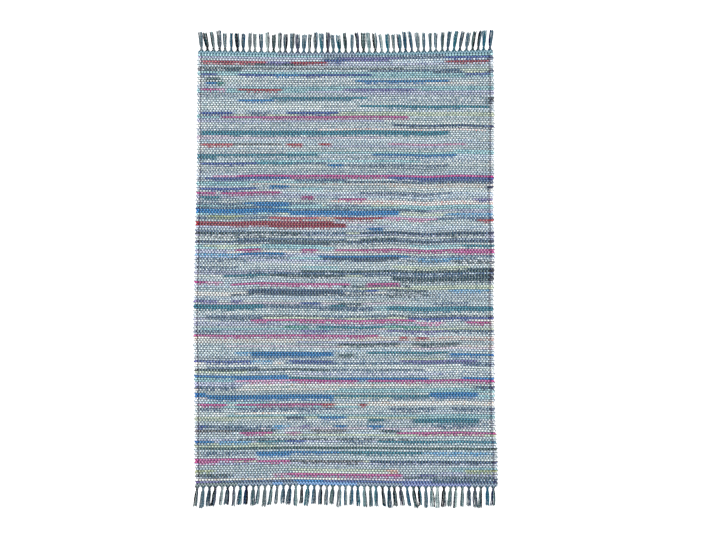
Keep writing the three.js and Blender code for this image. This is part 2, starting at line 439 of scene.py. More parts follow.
def end_bow(across, along):
    """How far the nearer end's bow carries a point outwards, by the share of the way that is left to it."""
    share = np.clip((np.abs(along) - HALF_LENGTH + BOW_FADES_OVER) / BOW_FADES_OVER, 0, None)
    far = np.interp(across, END_BOW["across"], END_BOW["far"])
    near = np.interp(across, END_BOW["across"], END_BOW["near"])
    return share * np.where(along > 0, far, -near)


def pick_lines():
    """The y of the line before each pick and after the last, at even places from one selvedge to the other.

    A pick's thickness wanders round 1 between knots across the rug. The thicknesses at a place are scaled to
    a mean of 1, and added up from the far end.
    """
    dice = np.random.default_rng(SEEDS["picks"])
    knots = np.linspace(0, 1, PICK_KNOTS)
    places = np.linspace(0, 1, INNER_COLUMNS + 1)
    wander = dice.normal(0, PICK_UNEVEN, (PICKS, len(knots)))
    thickness = 1 + np.apply_along_axis(lambda row: np.interp(places, knots, row), 1, wander)
    thickness /= thickness.mean(axis=0)
    run = np.vstack([np.zeros(len(places)), np.cumsum(thickness, axis=0)])
    return HALF_LENGTH - PICK * run


LINES = pick_lines()


def closed_sheet(x, y, middle, half):
    """A closed sheet over a grid of points: its face half a thickness above the middle and its back as far
    below, joined where the grid ends. Rows run towards -Y. Gives points, faces, and the grid's row and its
    column at each face's corner."""
    rows, columns = x.shape
    edge = np.ones(x.shape, bool)
    edge[1:-1, 1:-1] = False
    face = np.arange(x.size).reshape(x.shape)
    back = face.copy()
    back[~edge] = x.size + np.arange((~edge).sum())
    above = np.stack([x, y, middle + np.where(edge, 0, half)], axis=-1).reshape(-1, 3)
    below = np.stack([x, y, middle - half], axis=-1)[~edge]
    row, column = np.mgrid[: rows - 1, : columns - 1].reshape(2, -1)
    face_rows = row[:, None] + np.array([1, 1, 0, 0])
    back_rows = row[:, None] + np.array([0, 0, 1, 1])
    across = column[:, None] + np.array([0, 1, 1, 0])
    quads = np.concatenate([face[face_rows, across], back[back_rows, across]])
    corner_rows = np.concatenate([face_rows, back_rows])
    corner_columns = np.concatenate([across, across])
    return np.concatenate([above, below]), quads, corner_rows, corner_columns


def rib_rows(ribs):
    """Each row's rib and phase: a valley and two shoulders for each rib, and then the last valley."""
    rib = np.append(np.repeat(np.arange(ribs), len(RIB_PHASES)), ribs - 1)
    return rib, np.append(np.tile(RIB_PHASES, ribs), 1)[:, None]


def rag_cloth():
    """The woven rags as one closed sheet.

    Columns run from one line of rag turns to the other. A place's y lies between its pick's two lines by
    the row's phase. Past the last inner column x goes on by steps of the turn's depth, which swells over
    each pair of picks as 1 minus the cube of the distance from the pair's middle. The half thickness goes
    from valley to crest, where no valley parts the two picks of a turn, and rounds off to nothing at the
    turns as a quarter of an ellipse.
    """
    dice = np.random.default_rng(SEEDS["cloth"])
    pick, phase = rib_rows(PICKS)
    steps = len(TURN_STEPS)
    beyond = np.concatenate([-TURN_STEPS[::-1], np.zeros(INNER_COLUMNS + 1), TURN_STEPS])
    share = np.clip(np.arange(-steps, INNER_COLUMNS + steps + 1) / INNER_COLUMNS, 0, 1)
    lines = np.pad(LINES, ((0, 0), (steps, steps)), mode="edge")
    even = lines[pick] * (1 - phase) + lines[pick + 1] * phase
    run = pick[:, None] + phase
    left = selvedge(even, -1) + TURN_DEPTH
    right = selvedge(even, 1) - TURN_DEPTH
    x = left + (right - left) * share
    valley = np.full(x.shape, RAG_VALLEY)
    for side in (-1, 1):
        pair = run / 2 if side < 0 else (run + 1) / 2
        number = np.floor(pair).astype(int)
        within = pair - number
        swell = RAG_TURN["bulge"] + RAG_TURN["uneven"] * dice.uniform(-1, 1, PICKS)[number]
        reach = (swell + RAG_TURN["notch"]) * (1 - np.abs(2 * within - 1) ** 3)
        depth = TURN_DEPTH - RAG_TURN["notch"] + reach
        out = np.clip(side * beyond, 0, 1)
        x += side * out * depth
        valley += np.where(np.isclose(within, 0.5), out, 0) * (RAG_CREST - RAG_VALLEY)
    wander = dice.uniform(-RAG_UNEVEN, RAG_UNEVEN, (PICKS, len(beyond)))[pick]
    half = np.where((phase > 0) & (phase < 1), RAG_CREST + wander, valley)
    rounding = np.clip((np.abs(beyond) - TURN_STEPS[0]) / (1 - TURN_STEPS[0]), 0, 1)
    half = half * np.sqrt(1 - rounding**2)
    points, quads, rows, columns = closed_sheet(x, even + end_bow(x, even), MIDDLE, half)
    inner = (WIDTH - 2 * TURN_DEPTH) * (share - 0.5)
    level = (inner + beyond * (TURN_DEPTH + RAG_TURN["bulge"])) / MAP_WIDTH + 0.5
    corner_map = np.stack([level[columns], 1 - run[:, 0][rows] / PICKS], axis=-1)
    rags = lay_rags(np.clip(level * MAP_WIDTH - RAG_TURN["bulge"], 0, WIDTH))
    colours = rags[pick[rows.min(axis=1)][:, None], columns]
    return points, quads, corner_map, (("rag", colours[..., 0, :]), ("print", colours[..., 1, :]))


def warp_colours():
    """The name of each warp's colour, from left to right, with the close dark ends at both selvedges."""
    names = np.array(WARP_REPEAT)[np.arange(WARPS) % len(WARP_REPEAT)]
    names[: len(WARP_EDGE)] = WARP_EDGE
    names[-len(WARP_EDGE) :] = WARP_EDGE
    return names


def float_places(warp, pick, phase, stray):
    """x and y of a warp at the phases of its pick: between the warp's two outer lines by its number, and
    between the pick's two lines by the phase."""
    share = (warp + 0.5) / WARPS
    nominal = (WARP_INSET - TURN_DEPTH + (WIDTH - 2 * WARP_INSET) * share) / (WIDTH - 2 * TURN_DEPTH)
    column = nominal * INNER_COLUMNS
    before = np.floor(column).astype(int)
    between = column - before
    start = LINES[pick, before] * (1 - between) + LINES[pick, before + 1] * between
    stop = LINES[pick + 1, before] * (1 - between) + LINES[pick + 1, before + 1] * between
    y = start[:, None] + (stop - start)[:, None] * phase
    left = selvedge(y, -1) + WARP_INSET
    right = selvedge(y, 1) - WARP_INSET
    x = left + (right - left) * share[:, None] + stray[:, None]
    return x, y + end_bow(x, y)


def warp_floats(colour):
    """The warps of a colour, as short arches over each pick that they cross, above and below by turns.

    An arch is a ribbon across its own x, with a row of two points at each phase of the pick, and its level
    from the cloth's middle at that phase. Below, the two ends are single points.
    """
    dice = np.random.default_rng(SEEDS["warp"])
    shade = dice.integers(0, WARP_TILES**2, (WARPS, PICKS))
    strays = dice.uniform(-WARP_STRAY, WARP_STRAY, (WARPS, PICKS))
    warp, pick = np.nonzero((warp_colours() == colour)[:, None] & np.ones(PICKS, bool))
    over = (warp + pick) % 2 == 0
    points, maps, quads, triangles, taken = [], [], [], [], 0
    for lies_over, section, side in ((True, TOP_FLOAT, 1), (False, UNDER_FLOAT, -1)):
        w, p = warp[over == lies_over], pick[over == lies_over]
        x, y = float_places(w, p, section["phase"], strays[w, p])
        half = np.full(len(TILE_ROWS), WARP_HALF_WIDTHS[colour])
        if not lies_over:
            half[[0, -1]] = 0
        z = np.broadcast_to(MIDDLE + side * section["level"], x.shape)
        edges = [np.stack([x + hand * half, y, z], axis=-1) for hand in (-side, side)]
        grid = np.stack(edges, axis=2)
        tile = np.stack([shade[w, p] % WARP_TILES, shade[w, p] // WARP_TILES], axis=-1)
        local = np.stack(np.meshgrid([0, 1], TILE_ROWS), axis=-1) * (1 - 2 * TILE_INSET) + TILE_INSET
        if not lies_over:
            local[[0, -1], :, 0] = 0.5
        placed = (tile[:, None, None] + local) / WARP_TILES
        number = taken + np.arange(grid[..., 0].size).reshape(grid.shape[:3])
        for k in (0, 1, 2) if lies_over else (1,):
            quads.append(number[:, (k + 1, k + 1, k, k), (0, 1, 1, 0)])
        if not lies_over:
            triangles += [number[:, (1, 1, 0), (0, 1, 0)], number[:, (3, 2, 2), (0, 1, 0)]]
        points.append(grid.reshape(-1, 3))
        maps.append(placed.reshape(-1, 2))
        taken += number.size
    maps = np.concatenate(maps)
    faces = [np.concatenate(quads), np.concatenate(triangles)]
    corner_map = np.concatenate([maps[part].reshape(-1, 2) for part in faces])
    points, faces = without_spares(np.concatenate(points), faces)
    return points, faces, corner_map


def without_spares(points, faces):
    """The points that some face uses, and the faces renumbered to match."""
    used = np.unique(np.concatenate([part.ravel() for part in faces]))
    number = np.zeros(len(points), int)
    number[used] = np.arange(len(used))
    return points[used], [number[part] for part in faces]


HEADING_RIBS, HEADING_COLUMNS = 5, 240
HEADING_MIDDLE, HEADING_VALLEY, HEADING_CREST = 2.3, 1.6, 2.25


def heading(end, side):
    """A heading strip as a closed sheet of five fine ribs, in the same way as the cloth, between straight
    selvedges, and carried out by the end's bow."""
    rib, phase = rib_rows(HEADING_RIBS)
    run = rib[:, None] + phase
    share = np.linspace(0, 1, HEADING_COLUMNS + 1)
    left, right = (selvedge(side * HALF_LENGTH, hand) for hand in (-1, 1))
    line = left + (right - left) * share
    x = np.broadcast_to(line, (len(run), len(share)))
    bow = np.interp(x, END_BOW["across"], END_BOW[end])
    y = side * (HALF_LENGTH + SEAM + bow + HEADING_DEPTH * run / HEADING_RIBS)
    half = np.where((phase > 0) & (phase < 1), HEADING_CREST, HEADING_VALLEY) + np.zeros(x.shape)
    order = slice(None, None, -side)
    points, quads, rows, columns = closed_sheet(x[order], y[order], HEADING_MIDDLE, half[order])
    level = line / MAP_WIDTH + 0.5
    corner_map = np.stack([level[columns], run[order][rows, 0] / HEADING_RIBS], axis=-1)
    wefts = np.zeros((len(share), 4))
    for start, stop, name, _ in read_chart_line(HEADING_CHART[end]):
        covered = share * WIDTH >= start - HEADING_OVERLAP
        covered &= share * WIDTH <= stop + HEADING_OVERLAP
        wefts[covered] = rag_row(name)[0]
    return points, quads, corner_map, (("weft", wefts[columns]),)


def sway(number, series):
    """The number of a series that looks random from -1 to 1, worked out as the solids' are."""
    noise = np.sin(number * 12.9898 + series * 78.233) * 43758.5453
    return 2 * (noise - np.floor(noise)) - 1


def tassel_plans(end):
    """Where each tassel's root is, how long it is and how far its tip leans, as in the solids."""
    series = TASSEL_SERIES[end]
    index = np.arange(TASSELS["count"])
    across = (index + 0.5) * WIDTH / TASSELS["count"] - HALF_WIDTH + TASSELS["stray"] * sway(index, series)
    wanted = across + np.interp(across / WIDTH + 0.5, LEAN["place"], LEAN[end])
    wanted = wanted + TASSELS["lean_uneven"] * sway(index, series + 1)
    tips = np.maximum.accumulate(wanted - index * TASSELS["tips_apart"]) + index * TASSELS["tips_apart"]
    reach = TASSELS["reach"] + TASSELS["uneven"] * sway(index, series + 2)
    return across, tips - across, reach


# A tassel's yarns along their way: how far out, past the neck as a share of what is left, their spacing,
# the level of the lower and upper layer, and a yarn's radius
HEAD_RINGS = table(
    "out spacing lower upper radius",
    (-1.5, 0, 2.3, 2.3, 1),
    (3, 0.8, 2.1, 2.9, 1.05),
    (8, 1.05, 2.5, 4.2, 1.1),
    (12.5, 1.05, 2.7, 4.8, 1.1),
    (17, 1.3, 1.6, 3.6, 1.2),
)
TAIL_RINGS = table(
    "share spacing lower upper radius",
    (0.1, 1.75, 1.3, 3.2, 1.3),
    (0.22, 2.1, 1.3, 3.1, 1.32),
    (0.36, 2.25, 1.3, 3.0, 1.32),
    (0.5, 2.35, 1.3, 3.0, 1.32),
    (0.64, 2.4, 1.3, 2.9, 1.32),
    (0.78, 2.4, 1.3, 2.9, 1.3),
    (0.9, 2.4, 1.3, 2.8, 1.3),
    (1, 2.4, 1.2, 2.6, 1.15),
)
LOWER_YARNS, UPPER_YARNS = 6, 5
YARNS_A_TASSEL = LOWER_YARNS + UPPER_YARNS
YARN_SIDES, YARN_TURN, YARN_MAP_INSET = 4, 1.0, 0.08

# How far the yarns fan out at the head's first rings, and how far from the next tassel's they stay
FAN_SHARES, FAN_GAP = (1, 0.55, 0.12), 2

# How much shorter than its tassel a yarn is, how far tails spread, and how their yarns come to wave
YARN_CUT, TAIL_SPREAD, LOOSE_OVER = (0, 9), (1.15, 1.8), 60
YARN_WAVE = {"height": (0.5, 2.1), "length": (9, 16), "start": (0, 6)}

# The knot's two rings, one slanted each way
KNOT = {"out": 12.5, "apart": 1.3, "slant": 2.2, "middle": 4, "radius": 1.1, "points": 10}
KNOT |= {"half_width": 5.6, "half_height": 2.9}
KNOT_HANDS = [-1, 1]

# Which yarns lie on top of each tassel, from left to right
TASSEL_LEADS = {
    "far": """
grey/steel black black/grey grey/slate steel/grey blue/black black/steel slate/blue grey grey/pale
slate/steel pale/moss black/moss moss/grey slate/black steel/grey dusk/slate steel/blue moss/black
grey/steel teal/blue black/dusk moss/steel teal/moss moss/grey steel/blue black/dusk black/moss
steel/grey black/slate steel/pale teal/moss black/slate slate/teal blue/teal slate/blue steel/grey
slate/steel steel/moss blue/slate steel/moss slate/dusk teal/moss slate/blue steel/blue moss/black
black/steel blue/teal navy/steel
""",
    "near": """
black/slate grey/steel slate/black black/dusk grey/pale slate/black dusk/navy slate/teal navy/black
moss/slate slate/grey moss/grey steel/pale slate/grey steel/slate slate/blue dusk/grey black/slate
teal/slate blue/slate dusk/black grey/dusk moss/slate grey/teal blue/teal slate/blue slate/teal
steel/grey moss/steel teal/steel black/slate teal/slate black dusk/moss steel/blue moss/black
black/teal slate/blue navy/black slate/pale black/dusk moss/grey grey/pale moss/grey slate/steel
dusk/slate moss/black blue/teal navy/slate
""",
}
# How many yarns may take the first colour, and what other colours come among them
LEAD_YARNS = (2, UPPER_YARNS)
STRAY_YARNS = ["pale", "sage", "grey", "black", "steel"]
STRAY_YARN_CHANCE = 0.25


def tubes(paths, radii, reference, closed=False):
    """Yarns along paths, each a four-sided tube that turns as it goes.

    paths is yarns by rings by xyz. A ring's corner lies a radius from the path, at an angle that grows with
    the corner and with the ring, between the way crossed with the reference and that crossed again. Gives
    points, faces, and each face corner's yarn and shares of the way round and along.
    """
    if closed:
        way = np.roll(paths, -1, axis=1) - np.roll(paths, 1, axis=1)
    else:
        way = np.gradient(paths, axis=1)
    way /= np.linalg.norm(way, axis=2, keepdims=True)
    aside = np.cross(way, reference)
    aside /= np.linalg.norm(aside, axis=2, keepdims=True)
    up = np.cross(aside, way)
    yarns, rings = paths.shape[:2]
    turn = 0 if closed else YARN_TURN
    angle = turn * np.arange(rings)[:, None] + np.arange(YARN_SIDES) * math.tau / YARN_SIDES
    cosine, sine = np.cos(angle)[None, ..., None], np.sin(angle)[None, ..., None]
    outwards = cosine * aside[:, :, None] + sine * up[:, :, None]
    points = paths[:, :, None] + radii[..., None, None] * outwards
    number = np.arange(points[..., 0].size).reshape(points.shape[:3])
    spans = rings if closed else rings - 1
    yarn, ring, side = np.mgrid[:yarns, :spans, :YARN_SIDES].reshape(3, -1)
    ring_corners = ring[:, None] + np.array([0, 1, 1, 0])
    side_corners = side[:, None] + np.array([0, 0, 1, 1])
    faces = number[yarn[:, None], ring_corners % rings, side_corners % YARN_SIDES]
    corner_yarn = np.broadcast_to(yarn[:, None], faces.shape)
    round_share, along_share = side_corners / YARN_SIDES, ring_corners / spans
    if not closed:
        caps = np.concatenate([number[:, 0], number[:, -1, ::-1]])
        own = np.broadcast_to(np.tile(np.arange(yarns), 2)[:, None], caps.shape)
        middle = np.broadcast_to(np.arange(1, YARN_SIDES + 1) / (YARN_SIDES + 1), caps.shape)
        ends = np.repeat([0.0, 1.0], yarns)[:, None] + np.zeros(caps.shape)
        faces = np.concatenate([faces, caps])
        corner_yarn = np.concatenate([corner_yarn, own])
        round_share = np.concatenate([round_share, middle])
        along_share = np.concatenate([along_share, ends])
    return points.reshape(-1, 3), faces, corner_yarn, round_share, along_share


def yarn_numbers(names):
    return np.array([YARN_NAMES.index(name) for name in names])


def tassel_yarn_colours(end, dice):
    """The number of each yarn's colour, tassels by yarns, lower ones first: the warp's repeat below, the
    tassel's leading colours above and at the sides, and a stray one here and there."""
    count = TASSELS["count"]
    repeat = np.tile(yarn_numbers(WARP_REPEAT), (count, 1))
    numbers = np.zeros((count, YARNS_A_TASSEL), int)
    numbers[:, :LOWER_YARNS] = dice.permuted(repeat, axis=1)[:, :LOWER_YARNS]
    for tassel, lead in enumerate(TASSEL_LEADS[end].split()):
        shades = yarn_numbers(lead.split("/"))
        split = dice.integers(*LEAD_YARNS)
        upper = np.where(np.arange(UPPER_YARNS) < split, shades[0], shades[-1])
        numbers[tassel, [0, LOWER_YARNS - 1]] = upper[[0, -1]]
        numbers[tassel, LOWER_YARNS:] = upper
    strays = dice.choice(yarn_numbers(STRAY_YARNS), numbers.shape)
    on_top = np.arange(YARNS_A_TASSEL) >= LOWER_YARNS
    stray = (dice.uniform(0, 1, numbers.shape) < STRAY_YARN_CHANCE) & on_top
    return np.where(stray, strays, numbers)


def tassels(end, side):
    """All tassels of one end: yarns that fan out of the heading, pass a knot, and lie on the floor in two
    layers to their cut ends.

    A yarn's x is the tassel's, plus the lean at its way out as a power of the share of the reach, plus its
    own place times the spacing, and a slow sine wave that grows past the neck.
    """
    dice = np.random.default_rng(TASSEL_SERIES[end])
    across, lean, reach = (values[:, None, None] for values in tassel_plans(end))
    a_tassel, a_yarn = (len(across), 1, 1), (len(across), YARNS_A_TASSEL, 1)
    each = np.arange(YARNS_A_TASSEL)
    lower = each < LOWER_YARNS
    place = np.where(lower, each - (LOWER_YARNS - 1) / 2, each - LOWER_YARNS - (UPPER_YARNS - 1) / 2)
    fan = (np.argsort(np.argsort(place)) + 0.5) / YARNS_A_TASSEL - 0.5
    neck = HEAD_RINGS["out"][-1]
    cut = reach - dice.uniform(*YARN_CUT, a_yarn)
    head = np.broadcast_to(HEAD_RINGS["out"], a_yarn[:2] + HEAD_RINGS["out"].shape)
    out = np.concatenate([head, neck + TAIL_RINGS["share"] * (cut - neck)], axis=2)
    names = ("spacing", "lower", "upper", "radius")
    column = {name: np.append(HEAD_RINGS[name], TAIL_RINGS[name]) for name in names}
    rings = out.shape[2]
    fan_share = np.zeros(rings)
    fan_share[: len(FAN_SHARES)] = FAN_SHARES
    loose = np.clip((out - neck) / LOOSE_OVER, 0, 1)
    height = loose * dice.uniform(*YARN_WAVE["height"], a_yarn)
    length = dice.uniform(*YARN_WAVE["length"], a_tassel)
    start = dice.uniform(*YARN_WAVE["start"], a_yarn)
    spread = np.where(out > neck, dice.uniform(*TAIL_SPREAD, a_tassel), 1)
    x = across + lean * (np.maximum(out, 0) / reach) ** LEAN_GROWTH
    x = x + place[:, None] * column["spacing"] * spread + height * np.sin(out / length + start)
    x = x + fan[:, None] * fan_share * (WIDTH / TASSELS["count"] - FAN_GAP)
    bow = np.interp(across, END_BOW["across"], END_BOW[end])
    y = side * (HALF_LENGTH + SEAM + HEADING_DEPTH + bow + out)
    z = np.broadcast_to(np.where(lower[:, None], column["lower"], column["upper"]), x.shape)
    paths = np.stack([x, y, z], axis=-1).reshape(-1, rings, 3)
    radii = np.broadcast_to(column["radius"], x.shape).reshape(-1, rings)
    yarn_points, yarn_faces, yarn_own, *yarn_shares = tubes(paths, radii, (0, 0, 1))
    knots = knot_paths(side, across, bow, lean, reach)
    knot_points, knot_faces, knot_own, *knot_shares = tubes(*knots, (0, 1, 0), closed=True)
    numbers = tassel_yarn_colours(end, dice)
    knot_numbers = np.repeat(numbers[:, LOWER_YARNS + 1], len(KNOT_HANDS))
    numbers = np.concatenate([numbers.ravel()[yarn_own], knot_numbers[knot_own]]).ravel()
    round_share, along_share = (np.concatenate(parts).ravel() for parts in zip(yarn_shares, knot_shares))
    inner = YARN_MAP_INSET + (1 - 2 * YARN_MAP_INSET) * round_share
    corner_map = np.stack([(numbers + inner) / len(YARNS), along_share], axis=-1)
    colours = np.stack([paint(*YARNS[name]) for name in YARN_NAMES])[numbers]
    points = np.concatenate([yarn_points, knot_points])
    faces = np.concatenate([yarn_faces, knot_faces + len(yarn_points)])
    return points, faces, corner_map, (("yarn", colours),)


def knot_paths(side, across, bow, lean, reach):
    """Two slanted rings round each tassel's neck: ellipses across the bundle, slanted along it by the cosine
    of the same angle, one each way."""
    angle = np.arange(KNOT["points"]) * math.tau / KNOT["points"]
    hand = np.array(KNOT_HANDS)[:, None]
    out = KNOT["out"] + KNOT["apart"] * hand + KNOT["slant"] * hand * np.cos(angle)
    x = across + lean * (out / reach) ** LEAN_GROWTH + KNOT["half_width"] * np.cos(angle)
    y = side * (HALF_LENGTH + SEAM + HEADING_DEPTH + bow + out)
    z = KNOT["middle"] + KNOT["half_height"] * np.sin(angle) + np.zeros(x.shape)
    paths = np.stack([x, y, z], axis=-1).reshape(-1, KNOT["points"], 3)
    return paths, np.full(paths.shape[:2], KNOT["radius"])


# Finishes


class Number:
    """A number that varies over a surface. Sums with it add Math nodes, with numbers on either side."""

    def __init__(self, finish, socket):
        self.finish = finish
        self.socket = socket

    def __add__(self, other):
        return self.finish.maths("ADD", self, other)

    def __sub__(self, other):
        return self.finish.maths("SUBTRACT", self, other)

    def __rsub__(self, other):
        return self.finish.maths("SUBTRACT", other, self)

    def __mul__(self, other):
        return self.finish.maths("MULTIPLY", self, other)

    def __truediv__(self, other):
        return self.finish.maths("DIVIDE", self, other)

    __radd__ = __add__


class Finish:
    """A material whose nodes are added by plain calls."""

    def __init__(self, name, **constants):
        self.material = bpy.data.materials.new(name)
        self.material.use_nodes = True
        self.tree = self.material.node_tree
        self.shader = self.tree.nodes["Principled BSDF"]
        for socket, value in constants.items():
            self.shader.inputs[socket.replace("_", " ")].default_value = value

    def node(self, kind, settings=(), **inputs):
        """A node of a type, with its settings made first, and then a value or a link for each input, which
        is given by its name or by its number after the word input."""
        made = self.tree.nodes.new(kind)
        for name, value in dict(settings).items():
            setattr(made, name, value)
        for name, value in inputs.items():
            key = int(name[5:]) if name.startswith("input") else name
            if isinstance(value, Number):
                self.tree.links.new(value.socket, made.inputs[key])
            else:
                made.inputs[key].default_value = value
        return made

    def take(self, made, output=0):
        return Number(self, made.outputs[output])

    def maths(self, operation, *values, clamp=False):
        inputs = {f"input{k}": value for k, value in enumerate(values)}
        return self.take(self.node("ShaderNodeMath", {"operation": operation, "use_clamp": clamp}, **inputs))

    def place(self):
        """The two numbers of the piece's own map."""
        found = self.node("ShaderNodeUVMap", {"uv_map": "OFBake"})
        parts = self.node("ShaderNodeSeparateXYZ", Vector=self.take(found))
        return self.take(parts, 0), self.take(parts, 1)

    def vector(self, x, y, z):
        return self.take(self.node("ShaderNodeCombineXYZ", X=x, Y=y, Z=z))

    def noise(self, x, y, z, detail):
        where = self.vector(x, y, z)
        return self.take(self.node("ShaderNodeTexNoise", Vector=where, Scale=1.0, Detail=detail), "Fac")

    def attribute(self, name):
        """The colour and the alpha of a colour that the mesh carries."""
        made = self.node("ShaderNodeAttribute", {"attribute_name": name})
        return self.take(made, "Color"), self.take(made, "Alpha")

    def ramp(self, at, colours, first=0.0, over=1.0):
        """One of the colours by a number, with a hard change at each even step from the first on."""
        made = self.node("ShaderNodeValToRGB", Fac=at)
        made.color_ramp.interpolation = "CONSTANT"
        elements = made.color_ramp.elements
        while len(elements) < len(colours):
            elements.new(1.0)
        for k, colour in enumerate(colours):
            elements[k].position = first + over * k / len(colours)
            elements[k].color = paint(*colour)
        return self.take(made)

    def mix(self, share, first, second):
        made = self.node("ShaderNodeMix", {"data_type": "RGBA"}, input0=share, input6=first, input7=second)
        return self.take(made, 2)

    def surface(self, colour, brightness, height):
        """The material, whose surface has the colour times the brightness, and a relief in millimetres."""
        made = self.node("ShaderNodeVectorMath", {"operation": "SCALE"}, input0=colour, Scale=brightness)
        self.tree.links.new(made.outputs[0], self.shader.inputs["Base Color"])
        made = self.node("ShaderNodeBump", Strength=1.0, Distance=MM, Height=height)
        self.tree.links.new(made.outputs[0], self.shader.inputs["Normal"])
        return self.material


def warps_left_of(across):
    """How many warps lie left of a place in the map."""
    return across / WARP_PITCH - (WARP_INSET + RAG_TURN["bulge"]) / WARP_PITCH


def under_warp(finish, across, row, repeat=2):
    """From 0 to 1 under a warp on top of this row: a cosine whose period is the repeat, in warps. On each
    next row it moves on by half of it."""
    odd = finish.maths("FLOORED_MODULO", row, 2.0)
    along = warps_left_of(across) - 0.5 - odd * (repeat / 2)
    return finish.maths("COSINE", along * (math.tau / repeat)) * 0.5 + 0.5


# Small flecks of other colours over the rags, how far they show, and the range of their noise
FLECKS = [(206, 222, 214), (170, 190, 220), (240, 236, 206)]
FLECKS += [(186, 176, 216), (232, 244, 240), (236, 202, 214)]
FLECK_SHARE = 0.42
FLECK_RANGE = {"first": 0.28, "over": 0.44}

# Noises along a rag: a wave's millimetres, the step from pick to pick, the waves within one, and the detail
RAG_NOISES = {
    "print": (7, 3.17, 1.6, 1.5),
    "crease": (26, 5.13, 4.5, 3.0),
    "fleck": (9, 7.31, 2, 1.0),
    "parting": (230, 9.71, 0, 1.0),
}

# Where a noise becomes a print or the painted shadow of a parting between picks, and how hard its edge is
PRINT_EDGE = {"level": 0.67, "by_share": 0.34, "hardness": 14.0}
PARTING_EDGE = {"level": 0.46, "hardness": 10.0, "slope": -2.6}
# How sharply the painted shade in the groove between two picks gathers towards their edges
GROOVE_SHADE_POWER = 3.0

# A rag's light before anything darkens it, and how much each thing adds or takes away: all but the base are
# painted light and shade, and the crease term also holds the rags' streaky tone
RAG_LIGHT = {"base": 0.69, "crease": 0.72, "under": 0.12, "loose": 1.2, "pinched": 0.72}
RAG_LIGHT |= {"groove": 0.97, "parting": 0.85}
RAG_RELIEF = {"crease": 1.4, "under": 0.9}


def rag_noise(finish, kind, across, pick, within):
    """One of the rags' noises, drawn out along each pick and another one from pick to pick."""
    length, step, waves, detail = RAG_NOISES[kind]
    return finish.noise(across / length, pick * step, within * waves, detail)


def rag_finish():
    """Cut cotton rags: a ground and a scattered print, creased lengthwise, and bulging between the warps.
    The creases carry painted light and shade along with streaky tone. Painted shade darkens the rags under
    the warps, where the dark warps draw them in, in the groove between two picks and where picks part.
    Painted light brightens the loose rag between the dark warps."""
    finish = Finish("cotton_rags", Roughness=0.95, Specular_IOR_Level=0.15)
    level, run = finish.place()
    across = level * MAP_WIDTH
    run = (1 - run) * PICKS
    pick = finish.maths("FLOOR", run)
    within = run - pick
    ground, _ = finish.attribute("rag")
    printed, share = finish.attribute("print")
    scatter = rag_noise(finish, "print", across, pick, within)
    covered = scatter - PRINT_EDGE["level"] + share * PRINT_EDGE["by_share"]
    covered = finish.maths("MULTIPLY_ADD", covered, PRINT_EDGE["hardness"], 0.5, clamp=True)
    fleck = finish.ramp(rag_noise(finish, "fleck", across, pick, within), FLECKS, **FLECK_RANGE)
    colour = finish.mix(share * FLECK_SHARE, finish.mix(covered, ground, printed), fleck)
    crease = rag_noise(finish, "crease", across, pick, within)
    under = under_warp(finish, across, pick)
    pinched = under_warp(finish, across, pick, len(WARP_REPEAT))
    groove = finish.maths("POWER", finish.maths("ABSOLUTE", within * 2 - 1), GROOVE_SHADE_POWER)
    parting = rag_noise(finish, "parting", across, pick, within) - PARTING_EDGE["level"]
    parting = finish.maths("MULTIPLY_ADD", parting, PARTING_EDGE["hardness"], 0.0, clamp=True)
    gap = finish.maths("MULTIPLY_ADD", within, PARTING_EDGE["slope"], 1.0, clamp=True)
    light = RAG_LIGHT
    # Painted light and shade on the creases, with the rags' streaky tone, and painted shade under the warps
    # on top
    brightness = (light["base"] + crease * light["crease"]) * (1 - under * light["under"])
    # Painted light on the loose rag, and painted shade where the dark warps draw it in
    brightness = brightness * (light["loose"] - pinched * light["pinched"])
    # Painted shade in the groove between two picks
    brightness = brightness * (1 - groove * light["groove"])
    # Painted shadow where the picks part
    brightness = brightness * (1 - parting * gap * light["parting"])
    height = crease * RAG_RELIEF["crease"] - under * RAG_RELIEF["under"]
    return finish.surface(colour, brightness, height)


# A warp's ply, with its turns along a tile and its slant across, its painted light and shade, and its relief
# in millimetres
WARP_PLY = {"turns": 3.4, "slant": 0.9, "dark": 0.16, "relief": 0.12}
WARP_LIGHT = {"base": 0.6, "chance": 0.42}
WARP_ROUNDING = 1.6


def warp_finish(name, colour):
    """Two-ply cotton yarn, read from the tiles of its map: each tile a little lighter or darker, with the
    ply's slanted grooves in its relief and as painted light and shade, and rounded across."""
    finish = Finish(name, Roughness=0.9, Specular_IOR_Level=0.2)
    level, run = finish.place()
    wide, tall = level * WARP_TILES, run * WARP_TILES
    column, row = finish.maths("FLOOR", wide), finish.maths("FLOOR", tall)
    local_x, local_y = wide - column, tall - row
    chance = finish.take(finish.node("ShaderNodeTexWhiteNoise", Vector=finish.vector(column, row, 0.0)))
    turns = local_y * WARP_PLY["turns"] + local_x * WARP_PLY["slant"]
    ply = finish.maths("SINE", turns * math.tau)
    # Painted light and shade along the ply's twist, over the tile's own tone
    brightness = (WARP_LIGHT["base"] + chance * WARP_LIGHT["chance"]) * (1 + ply * WARP_PLY["dark"])
    bend = local_x - 0.5
    height = ply * WARP_PLY["relief"] - bend * bend * WARP_ROUNDING
    return finish.surface(colour[:3], brightness, height)


# The heading's painted highlight on its bulges, how far it and the warps show, and where its dark edge
# starts
BULGE_HIGHLIGHT, BULGE_HIGHLIGHT_SHARE, WARP_SHARE = (236, 248, 250), 0.34, 0.7
FLUFF = {"length": 5, "waves": 10, "detail": 2.0}
DRAWN_ROWS, OUTER_FROM = 2, 0.8
# Heading brightness: fluff, a dark outer edge, painted light where the weft lies loose, painted shade where
# drawn in
HEADING_LIGHT = {"base": 0.5, "fluff": 0.68, "outer": 0.45, "loose": 1.15, "drawn": 0.55}
HEADING_RELIEF = {"under": 0.6, "fluff": 0.4}


